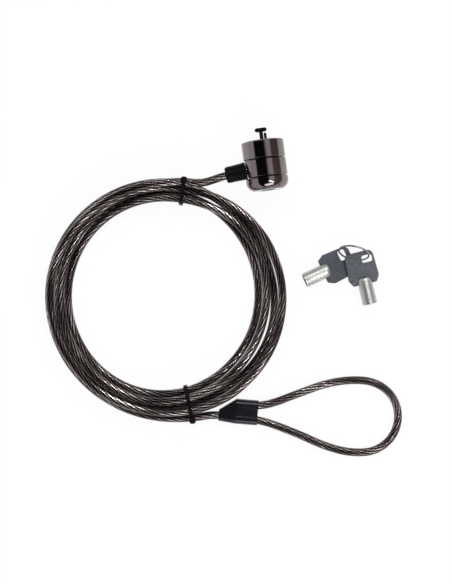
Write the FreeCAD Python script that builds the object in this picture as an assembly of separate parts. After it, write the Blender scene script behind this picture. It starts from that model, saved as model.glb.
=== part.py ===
import FreeCAD, Part
import math
import os

# Laptop cable lock, lying on a desk: a tubular-key lock head with a swivelling
# cable collar, a coiled steel cable that ends in a loop, and two keys on a ring.
# Millimetres, +Z up. The desk is z = 0. The origin is the middle of the footprint
# of the lock head and the keys. +X and +Y are right and up, seen from above.

# Cable
CABLE_D = 4.4
CABLE_R = CABLE_D / 2
COIL_CENTRE = (-78.51, -45.97)
COIL_INNER = (53.6, 3.62, 134.7, -0.88, 10.0)
COIL_OUTER = (64.0, 1.43, 125.0, 0.77, 148.0)
TOP_ANGLE = 81.5
LEFT_ANGLE = 182.0
BOTTOM_ANGLE = 282.4
RIGHT_ANGLE = 362.0

# Lock head: its front face carries the locking bar, its rear face the keyway
HEAD_R = 11.5
HEAD_TURN = 7.5
HEAD_FACE = (-26.5, 40.68)
FRONT_LEN = 9.7
COLLAR_LEN = 9.5
BEZEL_LEN = 6.8
RING_GAP = 0.3
EDGE = 0.4
FRONT_WALL = 3.0
BEZEL_ROUND_R = 3.5
BEZEL_ROUND_LEN = 5.0

# Locking bar and its guide pin
BAR_WIDTH = 6.7
BAR_DEPTH = 2.8
BAR_THICK = 2.1
BAR_REACH = 7.2
BAR_SHAFT_R = 1.05
BAR_FLANGE_R = 4.5
BAR_FLANGE_LEN = 1.2
BAR_BOSS_R = 3.0
BAR_BOSS_LEN = 2.6
GUIDE_R = 0.75
GUIDE_OFFSET = 2.1
GUIDE_REACH = 4.4
PAD_R = 9.6
PAD_HOLE_R = 4.6
PAD_THICK = 1.0
PAD_PROUD = 0.3

# Lock cylinder
BARREL_R = 8.0
BARREL_BORE_R = 6.1
BARREL_INSET = 2.2
BARREL_TO_WALL = 2.3
SHAFT_R = 2.0
STATOR_LEN = 7.0
FLANGE_LEN = 3.4
POST_R = 3.15
KEYWAY_R = 4.2
TANG_WIDTH = 2.6
NOTCH_WIDTH = 1.8
NOTCH_DEPTH = 2.4
NIB_SLOT_WIDTH = 1.0
NIB_SLOT_DEPTH = 0.7
NIB_SLOT_LEN = 1.6
PIN_COUNT = 7
PIN_PITCH = 45.0
PIN_CIRCLE_R = 3.65
PIN_R = 0.7
PIN_PROUD = 0.3
PIN_DEPTHS = (0.9, 0.3, 1.2, 0.6, 0.0, 0.9, 0.3)
DRIVER_LEN = 2.2
SPRING_LEN = 3.6
RETAINER_R = 0.75
WASHER_THICK = 0.5

# Clearances
RUN_GAP = 0.08
SEAT_GAP = 0.05
END_GAP = 0.1

# Cable end in the collar, and its sleeve
FLAT_R = 10.5
EXIT_TILT = 5.5
SOCKET_R = 2.6
SOCKET_HEAD_R = 3.6
STOP_LEN = 1.0
STOP_TAIL = 4.0
SLEEVE_END_R = 22.0
SLEEVE_R0 = 4.85
SLEEVE_R1 = 4.4
SLEEVE_CHAMFER = 0.7
SLEEVE_FLARE = 0.45
SLEEVE_FLARE_LEN = 3.0
LEAD_RUN = 6.5
LEAD_OUT = 1.0

# Loop sleeve
LOOP_SLEEVE_LEN = 21.2
LOOP_SLEEVE_Y = 7.4
LOOP_SLEEVE_R = 3.2
LOOP_SLEEVE_X = -39.3
LOOP_SLEEVE_MID_Y = -106.4
LOOP_SLEEVE_TURN = -4.5
LOOP_WEB_THICK = 5.9
NOSE_LEN = 9.0
NOSE_WIDTH = 6.4
NOSE_HEIGHT = 5.9
TAIL_Y = -2.8
TAIL_RUN = 3.0
UPPER_OUT = 3.2
LOWER_OUT = 2.4
TAIL_OUT = 1.0
CRIMP_LEN = 7.0
CRIMP_MID = 2.8
CRIMP_WALL = 0.7
CRIMP_WEB = 2.25

# Ties round the coil
TIE_WIDTH = 2.0
TIE_THICK = 0.8
TIE_GAP = 0.28
TIE_HEAD = 3.2
TIE_HEAD_RISE = 1.4

# Keys
KEY_BARREL_R = 4.0
KEY_BORE_R = 3.3
KEY_BORE_DEPTH = 8.0
KEY_BARREL_LEN = 11.0
KEY_ROOT = 3.6
KEY_ROOT_END = KEY_BARREL_LEN + KEY_ROOT - 0.6 * KEY_BARREL_R
KEY_LUG = 0.7
KEY_LUG_FROM = 0.9
KEY_LUG_LEN = 1.6
KEY_LUG_WIDTH = 1.6
KEY_NIB_WIDTH = 0.9
BOW_LEN = 18.0
BOW_FRONT_WIDTH = 13.0
BOW_WIDTH = 17.0
BOW_REAR_WIDTH = 15.6
BOW_THICK = 1.8
BOW_SHOULDER = 3.5
BOW_CORNER = 3.0
BOW_FRONT_CORNER = 1.0
BOW_CHAMFER = 0.35
SLOT_FROM_FRONT = 13.5
SLOT_OFF_AXIS = 4.0
SLOT_LONG = 5.8
SLOT_WIDE = 4.0
SLOT_CORNER = 1.2
RING_R = 8.2
RING_WIRE_R = 0.5
RING_LEAN = 66.0
RING_DROP = 0.55
KEY_1 = (-2.96, -34.72, 25.0, -3.6)
KEY_2 = (32.74, -47.32, 104.0, 4.6)

V = FreeCAD.Vector
UP = V(0, 0, 1)


def cylinder(radius, start, end):
    """A solid cylinder between two points."""
    line = end - start
    return Part.makeCylinder(radius, line.Length, start, line)


def along_z(radius, z0, z1, x=0.0, y=0.0):
    return cylinder(radius, V(x, y, z0), V(x, y, z1))


def box(x0, x1, y0, y1, z0, z1):
    return Part.makeBox(x1 - x0, y1 - y0, z1 - z0, V(x0, y0, z0))


def revolved(edges):
    """Turns a closed outline, drawn as radius and height, about the Z axis."""
    face = Part.Face(Part.Wire(edges))
    return face.revolve(V(0, 0, 0), UP, 360)


def outline(points):
    """Straight edges through points of radius and height, closed."""
    vectors = [V(r, 0, z) for r, z in points]
    vectors.append(vectors[0])
    return [Part.LineSegment(a, b).toShape() for a, b in zip(vectors, vectors[1:])]


def tube(edges, radius):
    """One pipe along joined straight and round edges."""
    path = Part.Wire(edges)
    first = edges[0]
    start = first.valueAt(first.FirstParameter)
    heading = first.tangentAt(first.FirstParameter)
    ring = Part.Wire([Part.Circle(start, heading, radius).toShape()])
    return path.makePipeShell([ring], True, False)


# Coiled cable

def outline_radius(shape, angle):
    """Radius of the innermost or outermost lane's centre line at an angle in degrees."""
    mean, shift, shift_at, oval, oval_at = shape
    turn = math.radians(angle)
    return (mean + shift * math.cos(turn - math.radians(shift_at))
            + oval * math.cos(2 * (turn - math.radians(oval_at))))


def lane_radius(lane, angle):
    inner = outline_radius(COIL_INNER, angle)
    return inner + lane * (outline_radius(COIL_OUTER, angle) - inner)


# Where the cable passes each station, in the order that it does: the lane, 0 inside
# to 1 outside, the height of its centre, and how far it heads outward, in degrees.
# It spirals in on the upper layer, climbs down, and spirals out on the lower one.
STATIONS = (
    (TOP_ANGLE, ((1.05, 13.9, -8.0), (0.68, 8.1, 0.0), (-0.04, 8.2, -2.0),
                 (0.29, 3.1, 0.0), (1.03, 3.1, 0.0))),
    (LEFT_ANGLE, ((0.8, 9.4, -0.9), (0.22, 7.1, 0.4), (-0.12, 2.2, 0.6),
                  (0.43, 2.2, 0), (0.94, 2.2, 0))),
    (BOTTOM_ANGLE, ((0.86, 8.0, 1.5), (0.24, 8.0, -2.0), (-0.1, 3.1, -1.0),
                    (0.54, 3.1, 2.0), (1.22, 3.1, 4.0))),
    (RIGHT_ANGLE, ((1.0, 7.2, 1.0), (0.33, 7.0, 3.0), (0.0, 2.2, 1.0),
                   (0.67, 2.2, -4.0))),
)


def coil_stations():
    """Points and headings of the coil, a quarter turn apart, from the head's end."""
    found = []
    for turn in range(5):
        for angle, passes in STATIONS:
            if turn < len(passes):
                found.append(station(angle, *passes[turn]))
            if turn == 4 and angle == BOTTOM_ANGLE:
                break
    return found


def station(angle, lane, height, lean):
    step = 0.5
    turn = math.radians(angle)
    radius = lane_radius(lane, angle)
    slope = ((lane_radius(lane, angle + step) - lane_radius(lane, angle - step))
             / math.radians(2 * step) + radius * math.tan(math.radians(lean)))
    point = V(COIL_CENTRE[0] + radius * math.cos(turn),
              COIL_CENTRE[1] + radius * math.sin(turn), height)
    heading = V(slope * math.cos(turn) - radius * math.sin(turn),
                slope * math.sin(turn) + radius * math.cos(turn), 0)
    return point, heading.normalize()


def biarc(start, heading, end, end_heading):
    """Two tangent arcs from one station to the next."""
    back = start - end
    a = 2 * (heading.dot(end_heading) - 1)
    b = 2 * back.dot(heading + end_heading)
    c = back.dot(back)
    reach = (-b - math.sqrt(b * b - 4 * a * c)) / (2 * a)
    corner_a = start + heading * reach
    corner_b = end - end_heading * reach
    joint = (corner_a + corner_b) * 0.5
    return [arc_by_corner(start, corner_a, joint), arc_by_corner(joint, corner_b, end)]


def arc_by_corner(start, corner, end):
    """The arc that leaves start towards corner and reaches end from it."""
    middle = (start + end) * 0.5
    half = (end - start).Length / 2
    cosine = half / (corner - start).Length
    top = middle + (corner - middle) * (cosine / (1 + cosine))
    return Part.Arc(start, top, end).toShape()


def coil_edges():
    stations = coil_stations()
    first, heading = stations[0]
    last, end_heading = stations[-1]
    edges = [Part.LineSegment(first - heading * CABLE_D, first).toShape()]
    for (p, t), (q, u) in zip(stations, stations[1:]):
        edges += biarc(p, t, q, u)
    edges.append(Part.LineSegment(last, last + end_heading * CABLE_D).toShape())
    return edges


def sampled(edges, step):
    points = []
    for edge in edges:
        count = max(2, int(edge.Length / step))
        first, last = edge.FirstParameter, edge.LastParameter
        for i in range(count):
            points.append(edge.valueAt(first + (last - first) * i / count))
    return points


def print_least_gap(edges):
    """Measures how near the coil's passes come to each other."""
    step = 2.0
    points = sampled(edges, step)
    apart = int(60 / step)
    least = min((p - q).Length for i, p in enumerate(points) for q in points[i + apart:])
    print("coil least gap to itself mm", round(least - CABLE_D, 3))


# Free stretches of cable

def route_edges(points, name):
    """Straight runs joined by arcs that are as large as the runs allow."""
    vectors = [V(*p) for p in points]
    edges = []
    radii = []
    at = vectors[0]
    for before, corner, after in zip(vectors, vectors[1:], vectors[2:]):
        come = (corner - before).normalize()
        go = (after - corner).normalize()
        half_turn = come.getAngle(go) / 2
        reach = 0.45 * min((corner - before).Length, (after - corner).Length)
        radii.append(reach / math.tan(half_turn))
        start = corner - come * reach
        end = corner + go * reach
        edges.append(Part.LineSegment(at, start).toShape())
        edges.append(arc_by_corner(start, corner, end))
        at = end
    edges.append(Part.LineSegment(at, vectors[-1]).toShape())
    print(name, "arc radii mm", [round(r, 1) for r in radii])
    return edges


def free_tube(points, name):
    edges = route_edges(points, name)
    solid = tube(edges, CABLE_R)
    length = sum(edge.Length for edge in edges)
    share = solid.Volume / (math.pi * CABLE_R ** 2 * length)
    print(name, "length mm", round(length, 1), "volume share", round(share, 4))
    return solid


# The head is drawn with its axis along Z, its front face at z = 0 and the cable
# leaving along +X, and is then laid on its side.

def head_placement():
    turn = math.radians(HEAD_TURN)
    to_front = V(-math.sin(turn), math.cos(turn), 0)
    to_cable = V(-math.cos(turn), -math.sin(turn), 0)
    place = FreeCAD.Matrix(
        to_cable.x, 0, to_front.x, HEAD_FACE[0],
        to_cable.y, 0, to_front.y, HEAD_FACE[1],
        0, 1, 0, HEAD_R,
        0, 0, 0, 1)
    return FreeCAD.Placement(place)


HEAD_PLACE = head_placement()
COLLAR_FRONT = -(FRONT_LEN + RING_GAP)
COLLAR_BACK = COLLAR_FRONT - COLLAR_LEN
COLLAR_MID = (COLLAR_FRONT + COLLAR_BACK) / 2
BEZEL_FRONT = COLLAR_BACK - RING_GAP
BEZEL_BACK = BEZEL_FRONT - BEZEL_LEN
BARREL_FRONT = -FRONT_WALL - BARREL_TO_WALL
BARREL_BACK = BEZEL_FRONT - BARREL_INSET
FLANGE_FRONT = -FRONT_WALL - END_GAP
BOSS_BACK = FLANGE_FRONT - BAR_FLANGE_LEN - BAR_BOSS_LEN
STATOR_FRONT = BOSS_BACK - END_GAP - WASHER_THICK
STATOR_BACK = STATOR_FRONT - STATOR_LEN
ROTOR_FRONT = STATOR_BACK - END_GAP
ROTOR_SEAT = ROTOR_FRONT - FLANGE_LEN
ROTOR_BACK = BARREL_BACK + END_GAP
POST_BACK = BEZEL_BACK + 0.6


def head(shape):
    placed = shape.copy()
    placed.Placement = HEAD_PLACE.multiply(shape.Placement)
    return placed


def pin_places():
    """The key's pins stand on one circle, an eighth of a turn apart, one place empty."""
    places = []
    for i in range(PIN_COUNT):
        turn = math.radians(PIN_PITCH * (i + 1) + 90)
        places.append((PIN_CIRCLE_R * math.cos(turn), PIN_CIRCLE_R * math.sin(turn)))
    return places


def front_housing():
    body = revolved(outline([
        (0, -FRONT_LEN), (HEAD_R - EDGE, -FRONT_LEN), (HEAD_R, -FRONT_LEN + EDGE),
        (HEAD_R, -EDGE), (HEAD_R - EDGE, 0), (0, 0)]))
    cavity = along_z(BARREL_R + SEAT_GAP, -FRONT_LEN, -FRONT_WALL)
    recess = along_z(PAD_R, -(PAD_THICK - PAD_PROUD), 0).cut(
        along_z(PAD_HOLE_R, -(PAD_THICK - PAD_PROUD), 0))
    body = body.cut(cavity).cut(recess).cut(along_z(BAR_SHAFT_R + RUN_GAP, -FRONT_WALL, 0))
    return body.cut(along_z(GUIDE_R, -FRONT_WALL, 0, -GUIDE_OFFSET))


def face_pad():
    low = -(PAD_THICK - PAD_PROUD)
    pad = along_z(PAD_R - SEAT_GAP, low, PAD_PROUD)
    return pad.cut(along_z(PAD_HOLE_R + SEAT_GAP, low, PAD_PROUD))


def guide_pin():
    """Stands beside the bar's shaft and fills the slot once the bar is turned."""
    pin = along_z(GUIDE_R, -FRONT_WALL + END_GAP, GUIDE_REACH, -GUIDE_OFFSET)
    tip = [e for e in pin.Edges if e.BoundBox.ZMin > GUIDE_REACH - 0.01 and e.Closed]
    return pin.makeChamfer(GUIDE_R * 0.4, tip)


def bar_profile():
    """The cross bar's outline on its wide side, with bevelled ends."""
    bevel = BAR_THICK * 0.4
    end = BAR_WIDTH / 2
    low = BAR_REACH - BAR_THICK
    corners = [(-end, low + bevel), (-end + bevel, low), (end - bevel, low), (end, low + bevel),
               (end, BAR_REACH - bevel), (end - bevel, BAR_REACH), (bevel - end, BAR_REACH),
               (-end, BAR_REACH - bevel)]
    wire = Part.makePolygon([V(x, -BAR_DEPTH, z) for x, z in corners + corners[:1]])
    return Part.Face(wire).extrude(V(0, 2 * BAR_DEPTH, 0))


def locking_bar():
    cross = box(-BAR_WIDTH / 2, BAR_WIDTH / 2, -BAR_DEPTH / 2, BAR_DEPTH / 2,
                BAR_REACH - BAR_THICK, BAR_REACH)
    ends = [e for e in cross.Edges
            if abs(abs(e.CenterOfMass.x) - BAR_WIDTH / 2) < 0.01 and e.BoundBox.ZLength > 1]
    cross = cross.makeFillet(BAR_DEPTH * 0.3, ends)
    cross = cross.common(bar_profile())
    shaft = along_z(BAR_SHAFT_R, FLANGE_FRONT, BAR_REACH - BAR_THICK)
    flange = along_z(BAR_FLANGE_R, FLANGE_FRONT - BAR_FLANGE_LEN, FLANGE_FRONT)
    boss = along_z(BAR_BOSS_R, BOSS_BACK, FLANGE_FRONT - BAR_FLANGE_LEN)
    half = TANG_WIDTH / 2 + SEAT_GAP
    socket = box(-half, half, -half, half, BOSS_BACK, BOSS_BACK + BAR_BOSS_LEN - END_GAP)
    return cross.fuse([shaft, flange, boss]).cut(socket).removeSplitter()


def core_barrel():
    tube_body = along_z(BARREL_R, BARREL_BACK, BARREL_FRONT)
    tube_body = tube_body.cut(along_z(BARREL_BORE_R, BARREL_BACK, BARREL_FRONT))
    return tube_body.cut(retainer(SEAT_GAP))


def retainer(gap):
    """The pin that holds the pin block in the barrel, across the wall."""
    z = (STATOR_FRONT + STATOR_BACK) / 2
    inner = PIN_CIRCLE_R + PIN_R + 0.6
    return cylinder(RETAINER_R + gap, V(0, -BARREL_R + 0.1 - gap, z), V(0, -inner + gap, z))


def pin_block():
    body = along_z(BARREL_BORE_R - SEAT_GAP, STATOR_BACK, STATOR_FRONT)
    body = body.cut(along_z(SHAFT_R + RUN_GAP, STATOR_BACK, STATOR_FRONT))
    depth = DRIVER_LEN + SPRING_LEN + 2 * END_GAP
    for x, y in pin_places():
        body = body.cut(along_z(PIN_R + SEAT_GAP, STATOR_BACK, STATOR_BACK + depth, x, y))
    return body.cut(retainer(SEAT_GAP))


def rotor():
    flange = along_z(BARREL_BORE_R - RUN_GAP, ROTOR_BACK, ROTOR_FRONT)
    well = along_z(KEYWAY_R, ROTOR_BACK, ROTOR_SEAT)
    body = flange.cut(well)
    lug_slot = box(-NOTCH_WIDTH / 2, NOTCH_WIDTH / 2, KEYWAY_R - 0.5, BARREL_BORE_R,
                   ROTOR_BACK, ROTOR_BACK + NOTCH_DEPTH)
    body = body.cut(lug_slot)
    post = along_z(POST_R, POST_BACK, ROTOR_SEAT)
    post = post.cut(box(-NIB_SLOT_WIDTH / 2, NIB_SLOT_WIDTH / 2, POST_R - NIB_SLOT_DEPTH, POST_R,
                        POST_BACK, POST_BACK + NIB_SLOT_LEN))
    shaft = along_z(SHAFT_R, ROTOR_FRONT, BOSS_BACK - END_GAP)
    half = TANG_WIDTH / 2
    tang_front = BOSS_BACK + BAR_BOSS_LEN - 2 * END_GAP
    tang = box(-half, half, -half, half, BOSS_BACK - END_GAP, tang_front)
    body = body.fuse([post, shaft, tang]).removeSplitter()
    low = ROTOR_SEAT - PIN_PROUD - max(PIN_DEPTHS) - END_GAP
    for x, y in pin_places():
        body = body.cut(along_z(PIN_R + SEAT_GAP, low, ROTOR_FRONT, x, y))
    return body


def key_pins():
    pins = []
    for (x, y), depth in zip(pin_places(), PIN_DEPTHS):
        back = ROTOR_SEAT - PIN_PROUD - depth
        pin = along_z(PIN_R, back, ROTOR_FRONT, x, y)
        tip = [e for e in pin.Edges if e.Closed and e.CenterOfMass.z < back + 0.01]
        pins.append(pin.makeChamfer(PIN_R * 0.4, tip))
    return Part.makeCompound(pins)


def driver_pins():
    return Part.makeCompound([
        along_z(PIN_R, STATOR_BACK, STATOR_BACK + DRIVER_LEN, x, y) for x, y in pin_places()])


def pin_springs():
    low = STATOR_BACK + DRIVER_LEN + END_GAP / 2
    springs = []
    for x, y in pin_places():
        spring = along_z(PIN_R - SEAT_GAP, low, low + SPRING_LEN, x, y)
        springs.append(spring.cut(along_z(PIN_R * 0.6, low, low + SPRING_LEN, x, y)))
    return Part.makeCompound(springs)


def thrust_washer():
    low = STATOR_FRONT + SEAT_GAP
    washer = along_z(BARREL_BORE_R - RUN_GAP, low, low + WASHER_THICK)
    return washer.cut(along_z(SHAFT_R + RUN_GAP, low, low + WASHER_THICK))


def tilted(shape):
    """The cable leaves the collar square to a flat that leans this much."""
    turned = shape.copy()
    turned.rotate(V(FLAT_R, 0, COLLAR_MID), V(0, 1, 0), EXIT_TILT)
    return turned


def exit_point(x):
    """A point on the leaning exit's line, x from the head's axis before the lean."""
    turn = math.radians(EXIT_TILT)
    reach = x - FLAT_R
    return HEAD_PLACE.multVec(V(FLAT_R + reach * math.cos(turn), 0,
                                COLLAR_MID - reach * math.sin(turn)))


def swivel_collar():
    inner = BARREL_R + RUN_GAP
    body = revolved(outline([
        (inner, COLLAR_BACK), (HEAD_R - EDGE, COLLAR_BACK), (HEAD_R, COLLAR_BACK + EDGE),
        (HEAD_R, COLLAR_FRONT - EDGE), (HEAD_R - EDGE, COLLAR_FRONT), (inner, COLLAR_FRONT)]))
    at = V(0, 0, COLLAR_MID)
    head_end = V(FLAT_R - 0.9, 0, COLLAR_MID)
    flat = box(FLAT_R, 2 * FLAT_R, -HEAD_R, HEAD_R, 2 * COLLAR_BACK, 0)
    bore = cylinder(SOCKET_R, at, V(HEAD_R, 0, COLLAR_MID))
    counterbore = cylinder(SOCKET_HEAD_R, at, head_end)
    return body.cut(tilted(flat)).cut(tilted(bore)).cut(tilted(counterbore))


def keyway_bezel():
    arc_start = V(HEAD_R, 0, BEZEL_BACK + BEZEL_ROUND_LEN)
    arc_end = V(HEAD_R - BEZEL_ROUND_R, 0, BEZEL_BACK)
    bend = (BEZEL_ROUND_R ** 2 + BEZEL_ROUND_LEN ** 2) / (2 * BEZEL_ROUND_R)
    half_turn = math.asin(BEZEL_ROUND_LEN / bend) / 2
    arc_top = arc_start - V(bend * (1 - math.cos(half_turn)), 0, bend * math.sin(half_turn))
    edges = [
        Part.LineSegment(V(0, 0, BEZEL_FRONT), V(HEAD_R - EDGE, 0, BEZEL_FRONT)).toShape(),
        Part.LineSegment(V(HEAD_R - EDGE, 0, BEZEL_FRONT),
                         V(HEAD_R, 0, BEZEL_FRONT - EDGE)).toShape(),
        Part.LineSegment(V(HEAD_R, 0, BEZEL_FRONT - EDGE), arc_start).toShape(),
        Part.Arc(arc_start, arc_top, arc_end).toShape(),
        Part.LineSegment(arc_end, V(0, 0, BEZEL_BACK)).toShape(),
        Part.LineSegment(V(0, 0, BEZEL_BACK), V(0, 0, BEZEL_FRONT)).toShape(),
    ]
    body = revolved(edges)
    seat = along_z(BARREL_R + SEAT_GAP, BARREL_BACK - SEAT_GAP, BEZEL_FRONT)
    keyway = along_z(KEYWAY_R, BEZEL_BACK, BEZEL_FRONT)
    notch = box(-NOTCH_WIDTH / 2, NOTCH_WIDTH / 2, 0, KEYWAY_R + KEY_LUG, BEZEL_BACK, BEZEL_FRONT)
    return body.cut(seat).cut(keyway).cut(notch)


def cable_stop():
    """The crimped end of the cable, held in the collar's socket and free to turn."""
    front = V(FLAT_R - 0.9 - END_GAP, 0, COLLAR_MID)
    inner = front - V(STOP_LEN, 0, 0)
    tail = V(FLAT_R + STOP_TAIL, 0, COLLAR_MID)
    knob = cylinder(SOCKET_HEAD_R - RUN_GAP, inner, front)
    return tilted(knob.fuse(cylinder(SOCKET_R - RUN_GAP, front, tail)).removeSplitter())


def cable_sleeve():
    """A tapered boot with shallow grip rings, over the stop and the cable."""
    start = FLAT_R + 0.2
    length = SLEEVE_END_R - start
    rings = 5
    points = [(0, 0), (SLEEVE_R0, 0)]
    for i in range(rings):
        z = length * (0.14 + 0.13 * i)
        radius = SLEEVE_R0 + (SLEEVE_R1 - SLEEVE_R0) * z / length
        points += [(radius, z - 0.35), (radius - 0.25, z), (radius, z + 0.35)]
    points += [(SLEEVE_R1, length - SLEEVE_CHAMFER),
               (SLEEVE_R1 - SLEEVE_CHAMFER, length), (0, length)]
    body = revolved(outline(points))
    body.Placement = FreeCAD.Placement(V(start, 0, COLLAR_MID), FreeCAD.Rotation(UP, V(1, 0, 0)))
    stop_end = FLAT_R + STOP_TAIL
    body = body.cut(cylinder(SOCKET_R, V(start, 0, COLLAR_MID), V(stop_end, 0, COLLAR_MID)))
    body = body.cut(cylinder(CABLE_R + SEAT_GAP, V(stop_end, 0, COLLAR_MID),
                             V(SLEEVE_END_R, 0, COLLAR_MID)))
    flare = Part.makeCone(CABLE_R + SEAT_GAP, CABLE_R + SLEEVE_FLARE, SLEEVE_FLARE_LEN,
                          V(SLEEVE_END_R - SLEEVE_FLARE_LEN, 0, COLLAR_MID), V(1, 0, 0))
    return tilted(body.cut(flare))


def lead_points():
    """From the stop, out of the sleeve and down to the top tie."""
    first, heading = coil_stations()[0]
    end = first - heading * CABLE_D
    stop = exit_point(FLAT_R + STOP_TAIL)
    out = exit_point(SLEEVE_END_R + LEAD_OUT)
    return [tuple(stop), tuple(out), tuple(end - heading * LEAD_RUN), tuple(end)]


# Loop, and the moulded sleeve that closes it. Points from the sleeve's upper exit,
# round the loop towards its lower one, relative to the middle of its right face.
LOOP_POINTS = (
    (22.5, 10.6, 2.4), (36.8, 15.9, 2.2), (50.8, 18.2, 2.2),
    (64.2, 17.2, 2.2), (74.2, 9.9, 2.2), (78.0, -2.0, 2.2), (74.2, -13.9, 2.2),
    (64.2, -21.5, 2.2), (50.5, -22.0, 2.2), (36.5, -18.2, 2.2), (22.0, -11.5, 2.4),
)


def sleeve_turned(shape):
    turned = shape.copy()
    turned.rotate(V(LOOP_SLEEVE_X, LOOP_SLEEVE_MID_Y, 0), UP, LOOP_SLEEVE_TURN)
    return turned


def sleeve_point(x, y):
    """A point from the loop sleeve's middle, turned with it, at the cable's height."""
    turn = math.radians(LOOP_SLEEVE_TURN)
    return V(LOOP_SLEEVE_X + x * math.cos(turn) - y * math.sin(turn),
             LOOP_SLEEVE_MID_Y + x * math.sin(turn) + y * math.cos(turn), LOOP_SLEEVE_R)


def loop_route():
    half = LOOP_SLEEVE_Y / 2
    crimp_x = CRIMP_MID + CRIMP_LEN / 2
    face = sleeve_point(LOOP_SLEEVE_LEN / 2, 0)
    points = [(face.x + x, face.y + y, z) for x, y, z in LOOP_POINTS]
    upper = [tuple(sleeve_point(x, half)) for x in (crimp_x, LOOP_SLEEVE_LEN / 2 + UPPER_OUT)]
    lower = [tuple(sleeve_point(x, -half)) for x in (LOOP_SLEEVE_LEN / 2 + LOWER_OUT, crimp_x)]
    return upper + points + lower


def tail_points():
    """From the bottom tie into the loop sleeve, straight to the crimp."""
    last, heading = coil_stations()[-1]
    start = last + heading * CABLE_D
    mouth = sleeve_point(-LOOP_SLEEVE_LEN / 2 - TAIL_OUT, TAIL_Y)
    crimp = sleeve_point(CRIMP_MID - CRIMP_LEN / 2, TAIL_Y)
    return [tuple(start), tuple(start + heading * TAIL_RUN), tuple(mouth), tuple(crimp)]


def loop_crimp():
    """The pressed double ferrule: both runs of the cable meet it inside the sleeve."""
    return sleeve_turned(crimp_form())


def crimp_form():
    radius = CABLE_R + CRIMP_WALL
    x0 = LOOP_SLEEVE_X + CRIMP_MID - CRIMP_LEN / 2
    x1 = LOOP_SLEEVE_X + CRIMP_MID + CRIMP_LEN / 2
    half = LOOP_SLEEVE_Y / 2
    rods = [cylinder(radius, V(x0, LOOP_SLEEVE_MID_Y + s * half, LOOP_SLEEVE_R),
                     V(x1, LOOP_SLEEVE_MID_Y + s * half, LOOP_SLEEVE_R)) for s in (-1, 1)]
    web = box(x0, x1, LOOP_SLEEVE_MID_Y - half, LOOP_SLEEVE_MID_Y + half,
              LOOP_SLEEVE_R - CRIMP_WEB, LOOP_SLEEVE_R + CRIMP_WEB)
    return rods[0].fuse([rods[1], web]).removeSplitter()


def stadium(x, y, width, height):
    """A flat oval outline across the sleeve, at its middle height."""
    flat = width / 2 - height / 2
    low = LOOP_SLEEVE_R - height / 2
    high = LOOP_SLEEVE_R + height / 2
    left = Part.Arc(V(x, y - flat, high), V(x, y - width / 2, LOOP_SLEEVE_R), V(x, y - flat, low))
    right = Part.Arc(V(x, y + flat, low), V(x, y + width / 2, LOOP_SLEEVE_R), V(x, y + flat, high))
    return Part.Wire([
        left.toShape(),
        Part.LineSegment(V(x, y - flat, low), V(x, y + flat, low)).toShape(),
        right.toShape(),
        Part.LineSegment(V(x, y + flat, high), V(x, y - flat, high)).toShape()])


def loop_sleeve():
    """Two round ridges over the loop's runs, a thinner web between, and a narrow nose."""
    x0 = LOOP_SLEEVE_X - LOOP_SLEEVE_LEN / 2
    x1 = LOOP_SLEEVE_X + LOOP_SLEEVE_LEN / 2
    shoulder = x0 + NOSE_LEN
    half = LOOP_SLEEVE_Y / 2
    mid = LOOP_SLEEVE_MID_Y
    width = LOOP_SLEEVE_Y + 2 * LOOP_SLEEVE_R
    nose = Part.makeLoft([stadium(x0, mid + TAIL_Y, NOSE_WIDTH, NOSE_HEIGHT),
                          stadium(shoulder, mid, width, 2 * LOOP_SLEEVE_R)], True, True)
    ridges = [cylinder(LOOP_SLEEVE_R, V(shoulder, mid + side * half, LOOP_SLEEVE_R),
                       V(x1, mid + side * half, LOOP_SLEEVE_R)) for side in (-1, 1)]
    web = box(shoulder, x1, mid - half, mid + half,
              LOOP_SLEEVE_R - LOOP_WEB_THICK / 2, LOOP_SLEEVE_R + LOOP_WEB_THICK / 2)
    body = nose.fuse(ridges + [web]).removeSplitter()
    body = body.cut(crimp_form())
    for side in (-1, 1):
        y = mid + side * half
        body = body.cut(cylinder(CABLE_R + SEAT_GAP, V(LOOP_SLEEVE_X, y, LOOP_SLEEVE_R),
                                 V(x1, y, LOOP_SLEEVE_R)))
    y = mid + TAIL_Y
    crimp_x = LOOP_SLEEVE_X + CRIMP_MID - CRIMP_LEN / 2
    body = body.cut(cylinder(CABLE_R + SEAT_GAP, V(x0, y, LOOP_SLEEVE_R),
                             V(crimp_x, y, LOOP_SLEEVE_R)))
    return sleeve_turned(body)


# Ties

def tie(angle, turn_count):
    """A flat band round every pass at a station, drawn in across the coil."""
    for station_angle, passes in STATIONS:
        if station_angle == angle:
            places = [(lane_radius(p[0], angle), p[1]) for p in passes[:turn_count]]
    r0 = min(r for r, z in places) - CABLE_R - TIE_GAP
    r1 = max(r for r, z in places) + CABLE_R + TIE_GAP
    z0 = TIE_THICK
    z1 = max(z for r, z in places) + CABLE_R + TIE_GAP
    corner = CABLE_R + TIE_GAP
    outer = rounded_block(r0 - TIE_THICK, r1 + TIE_THICK, z0 - TIE_THICK, z1 + TIE_THICK,
                          corner + TIE_THICK)
    inner = rounded_block(r0, r1, z0, z1, corner)
    band = outer.cut(inner)
    lock = box(r1 - TIE_HEAD, r1, -TIE_WIDTH * 0.8, TIE_WIDTH * 0.8, z1 + TIE_THICK / 2,
               z1 + TIE_THICK + TIE_HEAD_RISE)
    band = band.fuse(lock).removeSplitter()
    band.Placement = FreeCAD.Placement(V(COIL_CENTRE[0], COIL_CENTRE[1], 0),
                                       FreeCAD.Rotation(UP, angle))
    return band


def rounded_block(r0, r1, z0, z1, corner):
    block = box(r0, r1, -TIE_WIDTH / 2, TIE_WIDTH / 2, z0, z1)
    edges = [e for e in block.Edges if e.BoundBox.YLength > TIE_WIDTH - 0.01]
    return block.makeFillet(corner, edges)


# Keys: drawn with the barrel's open end at the origin and the bow along +X

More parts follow.
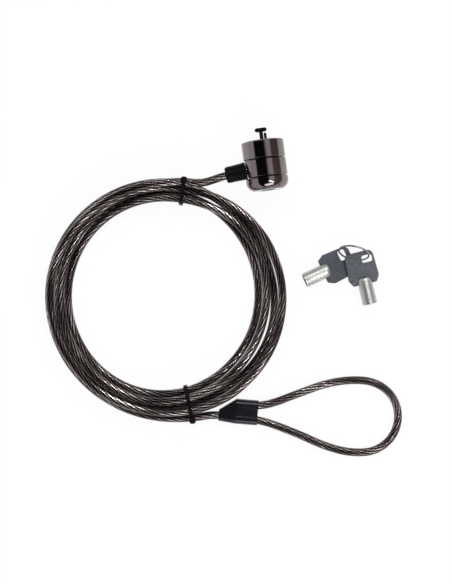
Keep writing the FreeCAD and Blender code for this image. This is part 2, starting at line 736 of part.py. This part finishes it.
def key_place(key):
    """Open end at x, y. With the bow down it rests on the barrel's root, else on its end."""
    x, y, turn, tilt = key
    slope = math.radians(tilt)
    if tilt < 0:
        lift = KEY_BARREL_R - KEY_ROOT_END * math.sin(slope)
    else:
        lift = KEY_BARREL_R * math.cos(slope)
    spin = FreeCAD.Rotation(UP, turn).multiply(FreeCAD.Rotation(V(0, 1, 0), -tilt))
    return FreeCAD.Placement(V(x, y, lift), spin)


def key_barrel_body(gap=0.0):
    end = KEY_BARREL_LEN + KEY_ROOT
    rod = cylinder(KEY_BARREL_R + gap, V(0, 0, 0), V(KEY_ROOT_END, 0, 0))
    dome = Part.makeSphere(KEY_BARREL_R + gap, V(KEY_ROOT_END, 0, 0))
    keep = box(0, end, -2 * KEY_BARREL_R, 2 * KEY_BARREL_R, -2 * KEY_BARREL_R, 2 * KEY_BARREL_R)
    return rod.fuse(dome.common(keep)).removeSplitter()


def key_barrel():
    body = key_barrel_body()
    body = body.cut(cylinder(KEY_BORE_R, V(0, 0, 0), V(KEY_BORE_DEPTH, 0, 0)))
    x0 = KEY_LUG_FROM
    x1 = KEY_LUG_FROM + KEY_LUG_LEN
    lug = box(x0, x1, -KEY_LUG_WIDTH / 2, KEY_LUG_WIDTH / 2,
              KEY_BARREL_R - 0.3, KEY_BARREL_R + KEY_LUG - END_GAP)
    nib = box(x0, x1, -KEY_NIB_WIDTH / 2, KEY_NIB_WIDTH / 2, KEY_BORE_R - 0.5, KEY_BORE_R + 0.2)
    return body.fuse([lug, nib]).removeSplitter()


def upright(plate, x_low, x_high):
    """The plate's edges along its thickness, between two distances along the key."""
    return [e for e in plate.Edges if e.BoundBox.ZLength > BOW_THICK - 0.01
            and e.BoundBox.XMin > x_low and e.BoundBox.XMax < x_high]


def key_bow(side):
    front = KEY_BARREL_LEN
    rear = front + BOW_LEN
    half = BOW_WIDTH / 2
    shoulder = front + BOW_SHOULDER
    corners = [V(front, -BOW_FRONT_WIDTH / 2, 0), V(shoulder, -half, 0),
               V(rear, -BOW_REAR_WIDTH / 2, 0), V(rear, BOW_REAR_WIDTH / 2, 0),
               V(shoulder, half, 0), V(front, BOW_FRONT_WIDTH / 2, 0)]
    wire = Part.makePolygon(corners + [corners[0]])
    plate = Part.Face(wire).extrude(V(0, 0, BOW_THICK))
    plate.translate(V(0, 0, -BOW_THICK / 2))
    plate = plate.makeFillet(BOW_CORNER, upright(plate, rear - 0.01, rear + 0.01))
    plate = plate.makeFillet(BOW_FRONT_CORNER, upright(plate, front - 0.01, shoulder + 0.01))
    rim = [e for e in plate.Edges if e.BoundBox.ZLength < 0.01]
    plate = plate.makeChamfer(BOW_CHAMFER, rim)
    return plate.cut(slot_block(side)).cut(key_barrel_body())


def slot_block(side):
    x = KEY_BARREL_LEN + SLOT_FROM_FRONT
    y = side * SLOT_OFF_AXIS
    slot = box(x - SLOT_WIDE / 2, x + SLOT_WIDE / 2, y - SLOT_LONG / 2, y + SLOT_LONG / 2,
               -BOW_THICK, BOW_THICK)
    edges = [e for e in slot.Edges if e.BoundBox.ZLength > BOW_THICK]
    return slot.makeFillet(SLOT_CORNER, edges)


def slot_centre(key, side):
    return key_place(key).multVec(V(KEY_BARREL_LEN + SLOT_FROM_FRONT, side * SLOT_OFF_AXIS, 0))


def ring_frame():
    """The ring passes through both slots and leans back: its middle and its normal."""
    a = slot_centre(KEY_1, 1)
    b = slot_centre(KEY_2, -1)
    across = (b - a).normalize()
    back = UP.cross(across).normalize()
    lean = math.radians(RING_LEAN)
    rise = (back * math.cos(lean) + across.cross(back) * math.sin(lean)).normalize()
    offset = math.sqrt(RING_R ** 2 - ((b - a).Length / 2) ** 2)
    middle = (a + b) * 0.5 + rise * offset - UP * RING_DROP
    return middle, across.cross(rise)


def key_ring():
    middle, normal = ring_frame()
    return Part.makeTorus(RING_R, RING_WIRE_R, middle, normal)


def placed_key(shape, key):
    shape.Placement = key_place(key)
    return shape


def build():
    coil = coil_edges()
    print_least_gap(coil)
    print("coil length mm", round(sum(e.Length for e in coil), 1))
    return {
        "front_housing": head(front_housing()),
        "face_pad": head(face_pad()),
        "guide_pin": head(guide_pin()),
        "locking_bar": head(locking_bar()),
        "core_barrel": head(core_barrel()),
        "pin_block": head(pin_block()),
        "retaining_pin": head(retainer(0)),
        "rotor": head(rotor()),
        "key_pins": head(key_pins()),
        "driver_pins": head(driver_pins()),
        "pin_springs": head(pin_springs()),
        "thrust_washer": head(thrust_washer()),
        "swivel_collar": head(swivel_collar()),
        "keyway_bezel": head(keyway_bezel()),
        "cable_stop": head(cable_stop()),
        "cable_sleeve": head(cable_sleeve()),
        "cable_lead": free_tube(lead_points(), "lead"),
        "cable_coil": tube(coil, CABLE_R),
        "cable_tail": free_tube(tail_points(), "tail"),
        "cable_loop": free_tube(loop_route(), "loop"),
        "loop_crimp": loop_crimp(),
        "loop_sleeve": loop_sleeve(),
        "upper_tie": tie(TOP_ANGLE, 5),
        "lower_tie": tie(BOTTOM_ANGLE, 5),
        "key_ring": key_ring(),
        "key_1_barrel": placed_key(key_barrel(), KEY_1),
        "key_1_bow": placed_key(key_bow(1), KEY_1),
        "key_2_barrel": placed_key(key_barrel(), KEY_2),
        "key_2_bow": placed_key(key_bow(-1), KEY_2),
    }


os.makedirs("parts", exist_ok=True)
for node, shape in build().items():
    if not shape.isValid():
        print("not valid:", node)
    shape.exportStep("parts/" + node + ".step")
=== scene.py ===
import math

import bmesh
import bpy
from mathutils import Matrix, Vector

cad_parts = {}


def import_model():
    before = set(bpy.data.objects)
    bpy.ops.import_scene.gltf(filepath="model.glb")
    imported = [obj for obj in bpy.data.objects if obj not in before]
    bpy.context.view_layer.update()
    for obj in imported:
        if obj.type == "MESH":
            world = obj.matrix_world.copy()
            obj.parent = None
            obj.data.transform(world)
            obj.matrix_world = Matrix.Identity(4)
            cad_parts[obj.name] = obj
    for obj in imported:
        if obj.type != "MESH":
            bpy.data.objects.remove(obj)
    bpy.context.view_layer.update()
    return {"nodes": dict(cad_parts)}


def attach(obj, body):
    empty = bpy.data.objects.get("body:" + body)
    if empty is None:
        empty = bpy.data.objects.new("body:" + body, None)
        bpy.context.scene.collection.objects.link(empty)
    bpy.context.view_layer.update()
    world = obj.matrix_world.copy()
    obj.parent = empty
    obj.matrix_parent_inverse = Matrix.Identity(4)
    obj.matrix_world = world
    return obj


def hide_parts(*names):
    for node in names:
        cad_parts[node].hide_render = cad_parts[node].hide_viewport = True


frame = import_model()

MM = 0.001
CABLE_D = 4.4
CABLE_R = CABLE_D / 2

# Camera: straight above, over the middle of the photograph
CAMERA_X, CAMERA_Y, CAMERA_Z = -46.06, -41.02, 800.0
VIEW_HEIGHT = 321.2


# Route of the cable, in millimetres: the stations and points of the part. The coil has two
# more stations, at 310 degrees and at 50 degrees of the next turn, written 410. They bring
# its right side nearer to the photograph. Each station lists lane, height and lean by turn.

COIL_CENTRE = (-78.51, -45.97)
COIL_INNER = (53.6, 3.62, 134.7, -0.88, 10.0)
COIL_OUTER = (64.0, 1.43, 125.0, 0.77, 148.0)
STATIONS = (
    (81.5, ((1.05, 13.9, -8.0), (0.68, 8.1, 0.0), (-0.04, 8.2, -2.0),
            (0.29, 3.1, 0.0), (1.03, 3.1, 0.0))),
    (182.0, ((0.8, 9.4, -0.9), (0.22, 7.1, 0.4), (-0.12, 2.2, 0.6),
             (0.43, 2.2, 0.0), (0.94, 2.2, 0.0))),
    (282.4, ((0.86, 8.0, 1.5), (0.24, 8.0, -2.0), (-0.1, 3.1, -1.0),
             (0.54, 3.1, 2.0), (1.22, 3.1, 4.0))),
    (310.0, ((0.91, 7.8, 1.1), (0.25, 7.7, 1.2), (-0.09, 2.9, 1.4),
             (0.58, 2.9, 4.0))),
    (362.0, ((1.0, 7.2, 1.0), (0.33, 7.0, 3.0), (0.0, 2.2, 1.0),
             (0.67, 2.2, -4.0))),
    (410.0, ((0.98, 7.8, -2.4), (0.36, 7.8, -2.0), (0.14, 2.8, 2.4),
             (0.68, 2.8, -3.0))),
)
# Degrees from one control point of the coil to the next
POINT_SPACING = 15.0
# The smooth line runs inside its control points, so they stand out by this factor
OUTWARD = 1.008

HEAD_FACE = (-26.5, 40.68)
HEAD_TURN = 7.5
HEAD_R = 11.5
COLLAR_MID = -14.75
FLAT_R = 10.5
EXIT_TILT = 5.5
LOOP_SLEEVE_X = -39.3
LOOP_SLEEVE_MID_Y = -106.4
LOOP_SLEEVE_TURN = -4.5
SLEEVE_HALF = 10.6
RUN_Y = 3.7
TAIL_Y = -2.8
SLEEVE_Z = 3.2
# Points round the loop: right of the sleeve's face, across it, and height over the desk
LOOP_POINTS = (
    (22.5, 10.6, 2.4), (36.8, 15.9, 2.2), (50.8, 18.2, 2.2),
    (64.2, 17.2, 2.2), (74.2, 9.9, 2.2), (78.0, -2.0, 2.2), (74.2, -13.9, 2.2),
    (64.2, -21.5, 2.2), (50.5, -22.0, 2.2), (36.5, -18.2, 2.2), (22.0, -11.5, 2.4),
)
# Straight ends, in millimetres
STOP_X = 14.5
LEAD_X = 23.0
RUN_INTO_COIL = 6.5
RUN_OUT_OF_COIL = 3.0
TAIL_BEFORE_SLEEVE = 1.0
TAIL_END_X = -0.7
LOOP_END_X = 6.3
LOOP_START_RUN = 3.2
LOOP_RETURN_RUN = 2.4

# Tube meshes: millimetres from ring to ring, and sides to a ring
CABLE_STEP = 2.4
LOOP_STEP = 2.0
TUBE_SIDES = 20

# How much of the floor is plain white to the camera, and the grey of the rest
FLOOR_GLOW = 0.93
FLOOR_GREY = 0.8
# What lights the object from all round, next to white as 1
WORLD_LEVEL = 0.75


def outline_radius(shape, angle):
    mean, shift, shift_at, oval, oval_at = shape
    turn = math.radians(angle)
    return (mean + shift * math.cos(turn - math.radians(shift_at))
            + oval * math.cos(2 * (turn - math.radians(oval_at))))


def lane_radius(lane, angle):
    inner = outline_radius(COIL_INNER, angle)
    return inner + lane * (outline_radius(COIL_OUTER, angle) - inner)


def coil_stops():
    """Where the cable passes each station: angle, radius, outward slope and height."""
    # Degrees to either side over which a lane's own slope is measured
    step = 0.5
    stops = []
    for turn in range(5):
        for angle, passes in STATIONS:
            if turn >= len(passes):
                continue
            lane, height, lean = passes[turn]
            radius = lane_radius(lane, angle)
            slope = ((lane_radius(lane, angle + step) - lane_radius(lane, angle - step))
                     / math.radians(2 * step) + radius * math.tan(math.radians(lean)))
            stops.append((math.radians(angle + 360 * turn), radius, slope, height))
    return stops


def on_coil(angle, radius, height):
    return Vector((COIL_CENTRE[0] + radius * math.cos(angle),
                   COIL_CENTRE[1] + radius * math.sin(angle), height))


def end_of_coil(stop):
    """A stop's point, and the direction in which the cable passes it."""
    angle, radius, slope, height = stop
    heading = Vector((slope * math.cos(angle) - radius * math.sin(angle),
                      slope * math.sin(angle) + radius * math.cos(angle), 0))
    return on_coil(angle, radius, height), heading.normalized()


def coil_points():
    """Control points of the turns: radius and height change smoothly from stop to stop."""
    stops = coil_stops()
    points = []
    for (a, r0, slope0, z0), (b, r1, slope1, z1) in zip(stops, stops[1:]):
        count = round(math.degrees(b - a) / POINT_SPACING)
        for i in range(count):
            u = i / count
            ease = u * u * (3 - 2 * u)
            lean = (b - a) * u * (1 - u) * (slope0 * (1 - u) - slope1 * u)
            radius = r0 + (r1 - r0) * ease + lean
            points.append(on_coil(a + (b - a) * u, radius * OUTWARD, z0 + (z1 - z0) * ease))
    angle, radius, slope, height = stops[-1]
    points.append(on_coil(angle, radius * OUTWARD, height))
    return points


def exit_point(x):
    """A point on the line by which the cable leaves the collar, x from the head's axis."""
    turn = math.radians(HEAD_TURN)
    lean = math.radians(EXIT_TILT)
    out = FLAT_R + (x - FLAT_R) * math.cos(lean)
    back = COLLAR_MID - (x - FLAT_R) * math.sin(lean)
    return Vector((HEAD_FACE[0] - math.cos(turn) * out - math.sin(turn) * back,
                   HEAD_FACE[1] - math.sin(turn) * out + math.cos(turn) * back, HEAD_R))


def sleeve_point(x, y):
    """A point from the loop sleeve's middle, turned with it, at the cable's height."""
    turn = math.radians(LOOP_SLEEVE_TURN)
    return Vector((LOOP_SLEEVE_X + x * math.cos(turn) - y * math.sin(turn),
                   LOOP_SLEEVE_MID_Y + x * math.sin(turn) + y * math.cos(turn), SLEEVE_Z))


def main_route():
    stops = coil_stops()
    first, heading = end_of_coil(stops[0])
    last, end_heading = end_of_coil(stops[-1])
    start = first - heading * CABLE_D
    points = [exit_point(STOP_X), exit_point(LEAD_X), start - heading * RUN_INTO_COIL, start]
    points += coil_points()
    points += [last + end_heading * (CABLE_D + RUN_OUT_OF_COIL),
               sleeve_point(-SLEEVE_HALF - TAIL_BEFORE_SLEEVE, TAIL_Y),
               sleeve_point(TAIL_END_X, TAIL_Y)]
    return points


def loop_route():
    face = sleeve_point(SLEEVE_HALF, 0)
    points = [sleeve_point(LOOP_END_X, RUN_Y),
              sleeve_point(SLEEVE_HALF + LOOP_START_RUN, RUN_Y)]
    points += [Vector((face.x + x, face.y + y, z)) for x, y, z in LOOP_POINTS]
    points += [sleeve_point(SLEEVE_HALF + LOOP_RETURN_RUN, -RUN_Y),
               sleeve_point(LOOP_END_X, -RUN_Y)]
    return points


def smooth_line(points, name, step):
    """Even points, in metres, along the NURBS spline that has these control points."""
    data = bpy.data.curves.new(name, "CURVE")
    data.dimensions = "3D"
    data.resolution_u = 12
    spline = data.splines.new("NURBS")
    spline.points.add(len(points) - 1)
    for slot, p in zip(spline.points, points):
        slot.co = (p.x * MM, p.y * MM, p.z * MM, 1)
    spline.order_u = 3
    spline.use_endpoint_u = True
    curve = bpy.data.objects.new(name, data)
    bpy.context.scene.collection.objects.link(curve)
    bpy.context.view_layer.update()
    mesh = bpy.data.meshes.new_from_object(curve)
    line = [v.co.copy() for v in mesh.vertices]
    bpy.data.meshes.remove(mesh)
    bpy.data.objects.remove(curve)
    bpy.data.curves.remove(data)
    return even(line, step)


def even(line, step):
    """Points spaced evenly along a line, about a step apart, from end to end."""
    reach = [0.0]
    for a, b in zip(line, line[1:]):
        reach.append(reach[-1] + (b - a).length)
    count = max(2, round(reach[-1] / step))
    points = []
    at = 0
    for i in range(count + 1):
        goal = reach[-1] * i / count
        while at < len(line) - 2 and reach[at + 1] < goal:
            at += 1
        share = (goal - reach[at]) / (reach[at + 1] - reach[at])
        points.append(line[at].lerp(line[at + 1], min(1.0, share)))
    return points


def tube_mesh(name, line, radius, sides):
    """A round tube along a line, with UVs: metres along it, and share of a turn round it."""
    bm = bmesh.new()
    uv = bm.loops.layers.uv.new("along")
    rings = []
    lengths = [0.0]
    tangent = (line[1] - line[0]).normalized()
    side = tangent.cross(Vector((0, 0, 1))).normalized()
    for i, p in enumerate(line):
        ahead = line[min(i + 1, len(line) - 1)]
        behind = line[max(i - 1, 0)]
        tangent = (ahead - behind).normalized()
        side = (side - tangent * side.dot(tangent)).normalized()
        up = tangent.cross(side)
        if i:
            lengths.append(lengths[-1] + (p - line[i - 1]).length)
        ring = []
        for k in range(sides):
            turn = 2 * math.pi * k / sides
            ring.append(bm.verts.new(p + (side * math.cos(turn) + up * math.sin(turn)) * radius))
        rings.append(ring)
    for i in range(len(rings) - 1):
        for k in range(sides):
            n = (k + 1) % sides
            face = bm.faces.new((rings[i][k], rings[i][n], rings[i + 1][n], rings[i + 1][k]))
            face.smooth = True
            places = ((i, k), (i, k + 1), (i + 1, k + 1), (i + 1, k))
            for loop, (row, turn) in zip(face.loops, places):
                loop[uv].uv = (lengths[row], turn / sides)
    bm.faces.new(list(reversed(rings[0])))
    bm.faces.new(rings[-1])
    bm.normal_update()
    mesh = bpy.data.meshes.new(name)
    bm.to_mesh(mesh)
    bm.free()
    piece = bpy.data.objects.new(name, mesh)
    bpy.context.scene.collection.objects.link(piece)
    return piece


# Materials

class Nodes:
    """A Principled material with short ways to add what varies over its surface."""

    def __init__(self, name, colour, metallic, rough, **sockets):
        self.mat = bpy.data.materials.new(name)
        self.mat.use_nodes = True
        self.tree = self.mat.node_tree
        self.bsdf = self.tree.nodes["Principled BSDF"]
        self.put("Base Color", (*colour, 1))
        self.put("Metallic", metallic)
        self.put("Roughness", rough)
        for key, value in sockets.items():
            self.put(key.replace("_", " "), value)

    def put(self, socket, value):
        self.bsdf.inputs[socket].default_value = value

    def node(self, kind, **inputs):
        made = self.tree.nodes.new(kind)
        for key, value in inputs.items():
            made.inputs[key.replace("_", " ")].default_value = value
        return made

    def link(self, a, b):
        self.tree.links.new(a, b)

    def math(self, kind, a, b=None, c=None):
        made = self.tree.nodes.new("ShaderNodeMath")
        made.operation = kind
        for i, value in enumerate((a, b, c)):
            if value is None:
                continue
            if isinstance(value, (int, float)):
                made.inputs[i].default_value = value
            else:
                self.link(value, made.inputs[i])
        return made.outputs[0]

    def where(self):
        return self.node("ShaderNodeTexCoord").outputs["Object"]

    def noise(self, scale, detail=3.0, stretch=None, coords=None):
        made = self.node("ShaderNodeTexNoise", Scale=scale, Detail=detail)
        coords = coords or self.where()
        if stretch:
            mapping = self.node("ShaderNodeMapping", Scale=stretch)
            self.link(coords, mapping.inputs["Vector"])
            coords = mapping.outputs["Vector"]
        self.link(coords, made.inputs["Vector"])
        return made.outputs["Fac"]

    def ramp(self, value, stops):
        made = self.tree.nodes.new("ShaderNodeValToRGB")
        ramp = made.color_ramp
        while len(ramp.elements) < len(stops):
            ramp.elements.new(0.5)
        for element, (place, colour) in zip(ramp.elements, stops):
            element.position = place
            element.color = (*colour, 1)
        self.link(value, made.inputs["Fac"])
        return made.outputs["Color"]

    def spread(self, value, low, high):
        made = self.node("ShaderNodeMapRange", To_Min=low, To_Max=high)
        self.link(value, made.inputs["Value"])
        return made.outputs["Result"]

    def bump(self, value, distance, strength):
        made = self.node("ShaderNodeBump", Distance=distance, Strength=strength)
        self.link(value, made.inputs["Height"])
        self.link(made.outputs["Normal"], self.bsdf.inputs["Normal"])

    def tint(self, value, stops):
        self.link(self.ramp(value, stops), self.bsdf.inputs["Base Color"])

    def vary_rough(self, scale, low, high, stretch=None):
        self.link(self.spread(self.noise(scale, 4.0, stretch), low, high),
                  self.bsdf.inputs["Roughness"])


def nickel():
    m = Nodes("black_nickel", (0.21, 0.182, 0.184), 1.0, 0.08)
    m.tint(m.noise(60, 2.0), [(0.3, (0.20, 0.170, 0.172)), (0.7, (0.232, 0.200, 0.203))])
    m.vary_rough(300, 0.06, 0.11)
    return m.mat


def plated(name, colour, low, high, grain=0.3):
    m = Nodes(name, colour, 1.0, low)
    dark = tuple(c * 0.86 for c in colour)
    m.tint(m.noise(240, 4.0), [(0.35, dark), (0.65, colour)])
    m.vary_rough(900, low, high)
    m.bump(m.noise(3200, 3.0), 0.00002, grain)
    return m.mat


def rubber(name, colour, rough, shine=0.5):
    m = Nodes(name, colour, 0.0, rough, Specular_IOR_Level=shine)
    light = tuple(min(1.0, c * 1.7 + 0.002) for c in colour)
    m.tint(m.noise(300, 5.0), [(0.35, colour), (0.7, light)])
    m.vary_rough(700, rough - 0.08, rough + 0.1)
    m.bump(m.noise(3000, 3.0), 0.00002, 0.3)
    return m.mat


def gloss_black():
    m = Nodes("loop_sleeve_gloss", (0.003, 0.003, 0.006), 0.0, 0.2, Coat_Weight=0.9,
              Coat_Roughness=0.2, Specular_IOR_Level=0.1)
    m.tint(m.noise(180, 3.0), [(0.35, (0.002, 0.002, 0.004)), (0.7, (0.004, 0.0043, 0.008))])
    m.vary_rough(260, 0.18, 0.3)
    m.bump(m.noise(900, 4.0), 0.00002, 0.3)
    return m.mat


def bow_plastic():
    m = Nodes("key_bow_plastic", (0.038, 0.043, 0.055), 0.0, 0.3, Coat_Weight=0.2,
              Coat_Roughness=0.15)
    m.tint(m.noise(120, 4.0), [(0.3, (0.030, 0.034, 0.045)), (0.7, (0.046, 0.053, 0.067))])
    m.vary_rough(800, 0.26, 0.4)
    m.bump(m.noise(3600, 4.0), 0.00003, 0.5)
    return m.mat


def cable_coat():
    """Steel rope under a smoke-tinted coat. Its strands wind round it, the wires in them
    lie along it, and the coat over both stays smooth. Its colour holds painted light: a
    painted highlight on each strand's crest, painted glints along the wires, painted shade
    in the grooves between strands, and long patches of painted light and shade."""
    m = Nodes("cable_strands", (0.05, 0.04, 0.04), 0.85, 0.24, Coat_Weight=0.3,
              Coat_Roughness=0.05, Coat_IOR=1.5, Specular_IOR_Level=0.2)
    split = m.node("ShaderNodeSeparateXYZ")
    uv = m.node("ShaderNodeTexCoord").outputs["UV"]
    m.link(uv, split.inputs[0])
    along, round_ = split.outputs[0], split.outputs[1]
    # Strands round the cable, metres in which one goes round, and wires drawn on them as lighter
    # streaks, painted glints
    strands = 9.0
    lay = 0.052
    wires_round = 26.0
    wires_along = 4.0
    phase = m.math("MULTIPLY_ADD", round_, strands, m.math("MULTIPLY", along, -strands / lay))
    place = m.math("FRACT", phase)
    off = m.math("SUBTRACT", m.math("MULTIPLY", place, 2.0), 1.0)
    body = m.math("SUBTRACT", 1.0, m.math("MULTIPLY", off, off))
    # Each strand's crest is painted lighter and the groove between strands darker: painted
    # highlight and painted shade. The bump uses the same body for the strands' real relief.
    crest_highlight = m.math("POWER", body, 2.4)
    wires = m.math("MULTIPLY_ADD", round_, wires_round,
                   m.math("MULTIPLY", along, wires_along / lay))
    # The wires' lighter stripes in the colour are painted glints; in the bump they are the
    # wires' relief.
    wire_glint_and_relief = m.math("SINE", m.math("MULTIPLY", wires, 2 * math.pi))
    wire_glint_and_relief = m.spread(m.math("MULTIPLY_ADD", wire_glint_and_relief, 0.5, 0.5), 0.0, 0.26)
    # Long patches along the cable painted darker and lighter: painted light and painted shade.
    painted_light_patch = m.spread(m.noise(40, 2.0, (1, 0.12, 0), uv), -0.72, 0.62)
    painted_light_and_shade = m.math("ADD", m.math("MULTIPLY", crest_highlight, 0.64), m.math("ADD", wire_glint_and_relief, painted_light_patch))
    # The colour runs from near black, painted shade, to near white, painted highlight.
    m.tint(painted_light_and_shade, [(0.15, (0.002, 0.0012, 0.0012)), (0.45, (0.034, 0.024, 0.023)),
                   (0.75, (0.22, 0.175, 0.172)), (1.0, (0.95, 0.89, 0.89))])
    m.bump(m.math("ADD", body, m.math("MULTIPLY", wire_glint_and_relief, 0.6)), 0.0002, 0.7)
    return m.mat


def paint(mat, *nodes):
    for name in nodes:
        mesh = frame["nodes"][name].data
        mesh.materials.clear()
        mesh.materials.append(mat)


def dress(piece, mat, body):
    piece.data.materials.append(mat)
    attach(piece, body)


# Pieces

strands = cable_coat()

line = smooth_line(main_route(), "main_route", CABLE_STEP * MM)
main_cable = tube_mesh("cable", line, CABLE_R * MM, TUBE_SIDES)
dress(main_cable, strands, "cable")
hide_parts("cable_lead", "cable_coil", "cable_tail")

loop_line = smooth_line(loop_route(), "loop_route", LOOP_STEP * MM)
loop = tube_mesh("cable_loop_piece", loop_line, CABLE_R * MM, TUBE_SIDES)
dress(loop, strands, "cable")
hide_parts("cable_loop")

paint(nickel(), "front_housing", "swivel_collar", "keyway_bezel")
paint(plated("bar_steel", (0.03, 0.03, 0.031), 0.2, 0.32), "locking_bar", "guide_pin")
paint(plated("core_brass", (0.72, 0.55, 0.28), 0.25, 0.4), "pin_block")
paint(plated("core_dark", (0.025, 0.023, 0.023), 0.35, 0.5), "core_barrel")
paint(plated("pin_steel", (0.6, 0.6, 0.62), 0.2, 0.35), "retaining_pin", "rotor", "key_pins",
      "driver_pins", "thrust_washer", "cable_stop")
paint(plated("spring_steel", (0.5, 0.5, 0.52), 0.3, 0.45), "pin_springs")
paint(plated("crimp_alloy", (0.68, 0.68, 0.7), 0.3, 0.5), "loop_crimp")
paint(rubber("face_rubber", (0.012, 0.012, 0.013), 0.7), "face_pad")
paint(rubber("sleeve_black", (0.002, 0.002, 0.002), 0.32, 0.06), "cable_sleeve")
paint(rubber("tie_nylon", (0.002, 0.002, 0.002), 0.34, 0.1), "upper_tie", "lower_tie")
paint(gloss_black(), "loop_sleeve")
paint(plated("key_nickel", (0.58, 0.60, 0.57), 0.38, 0.5, 0.0), "key_1_barrel",
      "key_2_barrel")
paint(bow_plastic(), "key_1_bow", "key_2_bow")
paint(plated("ring_wire", (0.3, 0.3, 0.31), 0.3, 0.42), "key_ring")


# Floor, light and camera

def floor():
    """A white floor that still takes the object's shadow."""
    bpy.ops.mesh.primitive_plane_add(size=6, location=(CAMERA_X * MM, CAMERA_Y * MM, 0))
    plane = bpy.context.object
    plane.name = "floor"
    mat = bpy.data.materials.new("floor_white")
    mat.use_nodes = True
    tree = mat.node_tree
    tree.nodes.clear()
    out = tree.nodes.new("ShaderNodeOutputMaterial")
    glow = tree.nodes.new("ShaderNodeEmission")
    glow.inputs["Color"].default_value = (1, 1, 1, 1)
    matt = tree.nodes.new("ShaderNodeBsdfDiffuse")
    matt.inputs["Color"].default_value = (FLOOR_GREY, FLOOR_GREY, FLOOR_GREY, 1)
    both = tree.nodes.new("ShaderNodeMixShader")
    rays = tree.nodes.new("ShaderNodeLightPath")
    seen = rays.outputs["Is Camera Ray"]
    for kind in ("Is Glossy Ray", "Is Transmission Ray"):
        either = tree.nodes.new("ShaderNodeMath")
        either.operation = "MAXIMUM"
        tree.links.new(seen, either.inputs[0])
        tree.links.new(rays.outputs[kind], either.inputs[1])
        seen = either.outputs[0]
    share = tree.nodes.new("ShaderNodeMath")
    share.operation = "MULTIPLY"
    share.inputs[1].default_value = FLOOR_GLOW
    tree.links.new(seen, share.inputs[0])
    tree.links.new(share.outputs[0], both.inputs["Fac"])
    tree.links.new(matt.outputs[0], both.inputs[1])
    tree.links.new(glow.outputs[0], both.inputs[2])
    tree.links.new(both.outputs[0], out.inputs["Surface"])
    plane.data.materials.append(mat)


def world():
    """White to the camera. What shines sees long soft strips of light and dark overhead."""
    made = bpy.data.worlds.new("studio")
    bpy.context.scene.world = made
    made.use_nodes = True
    tree = made.node_tree
    tree.nodes.clear()
    out = tree.nodes.new("ShaderNodeOutputWorld")
    coords = tree.nodes.new("ShaderNodeTexCoord")
    split = tree.nodes.new("ShaderNodeSeparateXYZ")
    angle = tree.nodes.new("ShaderNodeMath")
    angle.operation = "ARCTAN2"
    share = tree.nodes.new("ShaderNodeMapRange")
    share.inputs["From Min"].default_value = -math.pi / 2
    share.inputs["From Max"].default_value = math.pi / 2
    ramp = tree.nodes.new("ShaderNodeValToRGB")
    # Degrees from straight up toward the right, and the level of light that comes from there
    stops = [(-90, 0.80), (-55, 0.78), (-50, 0.010), (3, 0.008), (15, 0.72), (32, 0.85),
             (42, 0.20), (84, 0.18), (90, 0.9)]
    while len(ramp.color_ramp.elements) < len(stops):
        ramp.color_ramp.elements.new(0.5)
    for element, (degrees, level) in zip(ramp.color_ramp.elements, stops):
        element.position = (degrees + 90) / 180
        warm = 0.96 if level > 0.5 else 0.8
        element.color = (level, level * warm, level * warm, 1)
    strips = tree.nodes.new("ShaderNodeBackground")
    plain = tree.nodes.new("ShaderNodeBackground")
    plain.inputs["Color"].default_value = (1, 1, 1, 1)
    plain.inputs["Strength"].default_value = WORLD_LEVEL
    white = tree.nodes.new("ShaderNodeBackground")
    white.inputs["Color"].default_value = (1, 1, 1, 1)
    rays = tree.nodes.new("ShaderNodeLightPath")
    mix_a = tree.nodes.new("ShaderNodeMixShader")
    mix_b = tree.nodes.new("ShaderNodeMixShader")
    tree.links.new(coords.outputs["Generated"], split.inputs[0])
    tree.links.new(split.outputs["X"], angle.inputs[0])
    tree.links.new(split.outputs["Z"], angle.inputs[1])
    tree.links.new(angle.outputs[0], share.inputs["Value"])
    tree.links.new(share.outputs[0], ramp.inputs["Fac"])
    tree.links.new(ramp.outputs["Color"], strips.inputs["Color"])
    tree.links.new(rays.outputs["Is Glossy Ray"], mix_a.inputs["Fac"])
    tree.links.new(plain.outputs[0], mix_a.inputs[1])
    tree.links.new(strips.outputs[0], mix_a.inputs[2])
    tree.links.new(rays.outputs["Is Camera Ray"], mix_b.inputs["Fac"])
    tree.links.new(mix_a.outputs[0], mix_b.inputs[1])
    tree.links.new(white.outputs[0], mix_b.inputs[2])
    tree.links.new(mix_b.outputs[0], out.inputs["Surface"])


def softbox(name, place, size, power):
    """A rectangular lamp that looks at the middle of the view. Metres and watts."""
    data = bpy.data.lights.new(name, "AREA")
    data.shape = "RECTANGLE"
    data.size, data.size_y = size
    data.energy = power
    lamp = bpy.data.objects.new(name, data)
    bpy.context.scene.collection.objects.link(lamp)
    lamp.location = Vector(place)
    toward = Vector((CAMERA_X * MM, CAMERA_Y * MM, 0)) - lamp.location
    lamp.rotation_euler = toward.to_track_quat("-Z", "Y").to_euler()


def camera():
    data = bpy.data.cameras.new("camera")
    data.sensor_fit = "VERTICAL"
    data.angle = 2 * math.atan(VIEW_HEIGHT / 2 / CAMERA_Z)
    data.clip_start = 0.01
    eye = bpy.data.objects.new("camera", data)
    bpy.context.scene.collection.objects.link(eye)
    eye.location = (CAMERA_X * MM, CAMERA_Y * MM, CAMERA_Z * MM)
    bpy.context.scene.camera = eye


floor()
world()
softbox("key_light", (0.4, 0.85, 0.95), (0.4, 0.4), 4.0)
softbox("right_light", (0.42, -0.40, 0.95), (0.06, 0.6), 3.0)
softbox("low_light", (0.2, -0.95, 0.6), (0.8, 0.4), 3.4)
softbox("high_light", (0.0, 0.6, 0.85), (1.0, 0.05), 3.0)
camera()
bpy.context.scene.view_settings.view_transform = "Standard"
